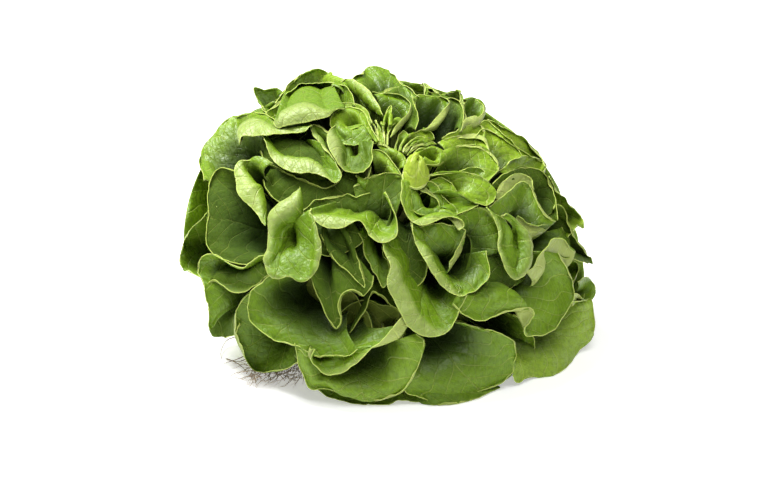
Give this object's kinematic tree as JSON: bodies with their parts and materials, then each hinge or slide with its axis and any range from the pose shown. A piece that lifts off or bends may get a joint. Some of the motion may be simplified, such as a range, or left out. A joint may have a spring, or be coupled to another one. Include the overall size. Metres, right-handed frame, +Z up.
{
  "type": "butterhead lettuce head",
  "caption": "Whole loose butterhead lettuce lying on its root plug, with cupped folded leaves round a crown of small leaves.",
  "frame": {"origin": "middle of the flat spot under the root plug, on the surface that the head lies on", "axes": "+Z up, -Y towards the front, where the crown leans"},
  "size_m": [0.2566, 0.2428, 0.1566],
  "materials": {
    "outer_leaf": "satin waxy leaf",
    "inner_leaf": "satin pale leaf",
    "stem": "satin pale stalk",
    "roots": "matte earthy roots"
  },
  "bodies": {
    "root": {"back_top": "outer_leaf", "front_crescent": "outer_leaf", "front_cup": "outer_leaf", "front_left_big": "outer_leaf", "front_left_under": "outer_leaf", "front_long_lip": "outer_leaf", "front_low": "outer_leaf", "front_mid_right": "outer_leaf", "front_roll": "outer_leaf", "front_spoon": "outer_leaf", "front_under": "outer_leaf", "heart": "inner_leaf", "hidden_124_0": "outer_leaf", "hidden_124_1": "outer_leaf", "hidden_124_2": "outer_leaf", "hidden_124_4": "outer_leaf", "hidden_124_5": "outer_leaf", "hidden_124_6": "outer_leaf", "hidden_72_0": "outer_leaf", "hidden_72_1": "outer_leaf", "hidden_72_10": "outer_leaf", "hidden_98_0": "outer_leaf", "hidden_98_1": "outer_leaf", "hidden_98_2": "outer_leaf", "hidden_98_3": "outer_leaf", "hidden_98_8": "outer_leaf", "hidden_98_9": "outer_leaf", "left_dark": "outer_leaf", "left_fold": "outer_leaf", "left_high": "outer_leaf", "left_shelf": "outer_leaf", "left_spoon": "outer_leaf", "left_wing": "outer_leaf", "right_arch": "outer_leaf", "right_arch_dark": "outer_leaf", "right_arch_pale": "outer_leaf", "right_back_gold": "outer_leaf", "right_big": "outer_leaf", "right_big_hood": "outer_leaf", "right_dark_wing": "outer_leaf", "right_fold_front": "outer_leaf", "right_lobe": "outer_leaf", "right_low": "outer_leaf", "right_pale_wing": "outer_leaf", "right_tongue": "outer_leaf", "roots": "roots", "stem": "stem", "upper_big": "outer_leaf", "upper_bright_lip": "outer_leaf", "upper_glossy": "outer_leaf", "upper_pale": "outer_leaf"}
  },
  "joints": []
}
